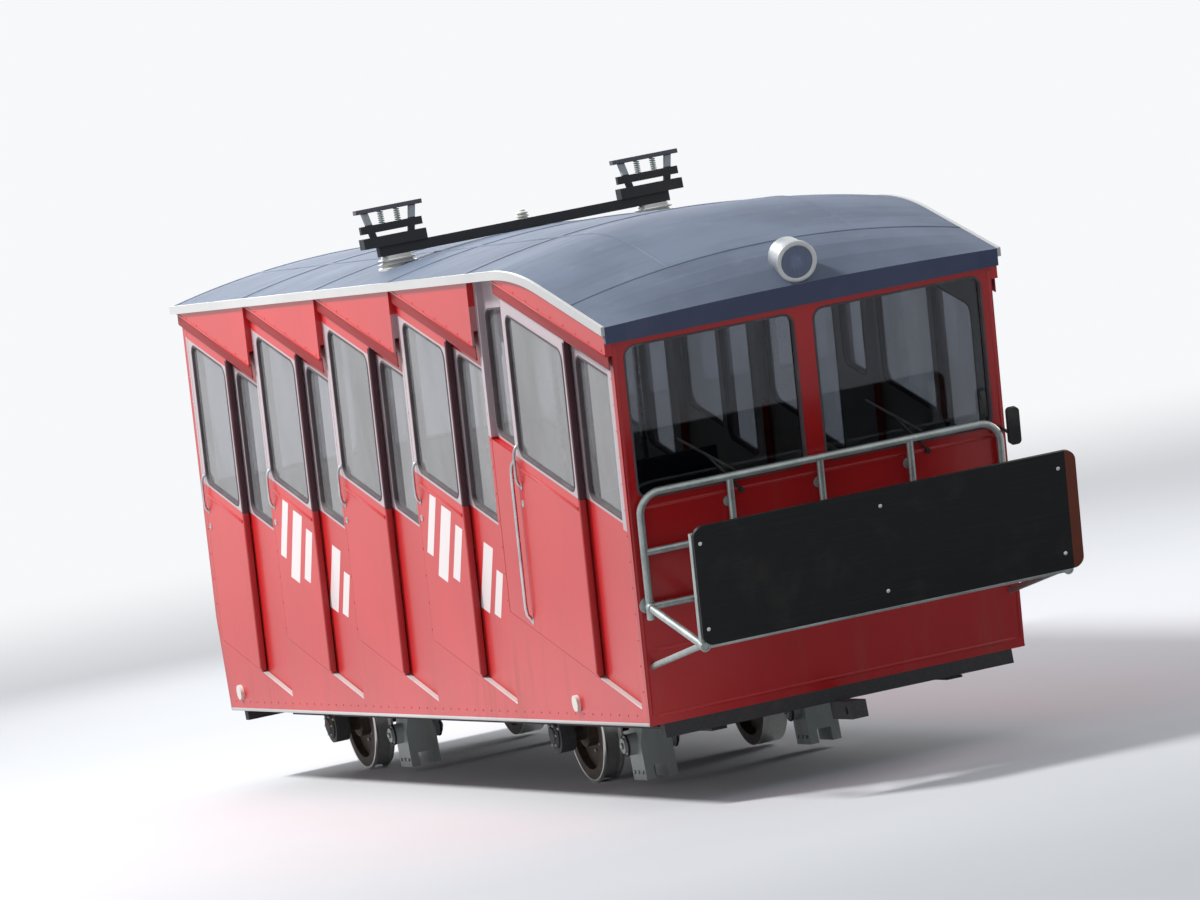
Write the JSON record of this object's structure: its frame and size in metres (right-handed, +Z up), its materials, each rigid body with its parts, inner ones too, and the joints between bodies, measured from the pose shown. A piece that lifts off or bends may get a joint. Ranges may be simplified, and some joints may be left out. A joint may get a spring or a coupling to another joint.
{
  "type": "funicular car",
  "caption": "Small stepped funicular car with level floors, an arched roof, sliding side doors and a rack with a blank board at its uphill end, on two rail axles.",
  "frame": {"origin": "on the ground under the middle of the car's whole length, on its middle plane", "axes": "+X uphill along the track, +Y from the left side to the right side, +Z up, square to the track"},
  "size_m": [9.4674, 2.34, 3.4764],
  "materials": {
    "body_paint": "gloss",
    "door_paint": "gloss",
    "roof_paint": "satin",
    "gutter_paint": "satin",
    "frame_paint": "satin",
    "floor_covering": "matte",
    "bench_wood": "satin",
    "desk_paint": "satin",
    "window_glass": "gloss",
    "lamp_glass": "gloss",
    "lamp_metal": "satin",
    "wheel_steel": "satin",
    "cast_parts": "matte",
    "caliper_paint": "satin",
    "galvanised": "satin",
    "slat_wood": "matte",
    "board_face": "matte",
    "insulator": "gloss",
    "collector_metal": "satin",
    "black_rubber": "matte",
    "pad_paint": "satin",
    "seat_cover": "matte"
  },
  "bodies": {
    "car": {"side_panels_left": "body_paint", "side_panels_right": "body_paint", "side_frame_left": "body_paint", "side_frame_right": "body_paint", "side_glass": "window_glass", "end_wall_downhill": "body_paint", "end_wall_uphill": "body_paint", "end_glass": "window_glass", "roof": "roof_paint", "gutters": "gutter_paint", "headlamp": "lamp_metal", "headlamp_lens": "lamp_glass", "floor": "floor_covering", "benches": "bench_wood", "desk": "desk_paint", "underframe": "frame_paint", "axle_boxes": "cast_parts", "calipers": "caliper_paint", "rope_socket": "cast_parts", "rack_frame": "galvanised", "rack_floor": "slat_wood", "board_posts": "galvanised", "sign_board": "board_face", "collector_bases": "insulator", "collectors": "collector_metal", "wipers": "black_rubber", "mirror": "black_rubber", "jacking_pads": "pad_paint", "tail_lamp": "lamp_metal", "grab_poles": "lamp_metal", "driver_seat": "seat_cover"},
    "door_left_section_1": {"door_left_section_1": "door_paint", "glass_left_section_1": "window_glass"},
    "door_left_section_2": {"door_left_section_2": "door_paint", "glass_left_section_2": "window_glass"},
    "door_left_section_3": {"door_left_section_3": "door_paint", "glass_left_section_3": "window_glass"},
    "door_left_section_4": {"door_left_section_4": "door_paint", "glass_left_section_4": "window_glass"},
    "door_left_cab": {"door_left_cab": "door_paint", "glass_left_cab": "window_glass"},
    "door_right_section_1": {"door_right_section_1": "door_paint", "glass_right_section_1": "window_glass"},
    "door_right_section_2": {"door_right_section_2": "door_paint", "glass_right_section_2": "window_glass"},
    "door_right_section_3": {"door_right_section_3": "door_paint", "glass_right_section_3": "window_glass"},
    "door_right_section_4": {"door_right_section_4": "door_paint", "glass_right_section_4": "window_glass"},
    "door_right_cab": {"door_right_cab": "door_paint", "glass_right_cab": "window_glass"},
    "wheelset_downhill": {"wheelset_downhill": "wheel_steel"},
    "wheelset_uphill": {"wheelset_uphill": "wheel_steel"}
  },
  "joints": [
    {"name": "slide_left_section_1", "type": "slide", "parent": "car", "child": "door_left_section_1", "axis": [0.9659, 0, -0.2588], "range_m": [0, 0.56]},
    {"name": "slide_left_section_2", "type": "slide", "parent": "car", "child": "door_left_section_2", "axis": [0.9659, 0, -0.2588], "range_m": [0, 0.56]},
    {"name": "slide_left_section_3", "type": "slide", "parent": "car", "child": "door_left_section_3", "axis": [0.9659, 0, -0.2588], "range_m": [0, 0.56]},
    {"name": "slide_left_section_4", "type": "slide", "parent": "car", "child": "door_left_section_4", "axis": [0.9659, 0, -0.2588], "range_m": [0, 0.56]},
    {"name": "slide_left_cab", "type": "slide", "parent": "car", "child": "door_left_cab", "axis": [0.9659, 0, -0.2588], "range_m": [0, 0.637]},
    {"name": "slide_right_section_1", "type": "slide", "parent": "car", "child": "door_right_section_1", "axis": [0.9659, 0, -0.2588], "range_m": [0, 0.56]},
    {"name": "slide_right_section_2", "type": "slide", "parent": "car", "child": "door_right_section_2", "axis": [0.9659, 0, -0.2588], "range_m": [0, 0.56]},
    {"name": "slide_right_section_3", "type": "slide", "parent": "car", "child": "door_right_section_3", "axis": [0.9659, 0, -0.2588], "range_m": [0, 0.56]},
    {"name": "slide_right_section_4", "type": "slide", "parent": "car", "child": "door_right_section_4", "axis": [0.9659, 0, -0.2588], "range_m": [0, 0.56]},
    {"name": "slide_right_cab", "type": "slide", "parent": "car", "child": "door_right_cab", "axis": [0.9659, 0, -0.2588], "range_m": [0, 0.637]},
    {"name": "roll_downhill", "type": "hinge", "parent": "car", "child": "wheelset_downhill", "pos_m": [-3.87373, 0, 0.318], "axis": [0, 1, 0], "continuous": true},
    {"name": "roll_uphill", "type": "hinge", "parent": "car", "child": "wheelset_uphill", "pos_m": [0.62627, 0, 0.318], "axis": [0, 1, 0], "continuous": true}
  ]
}
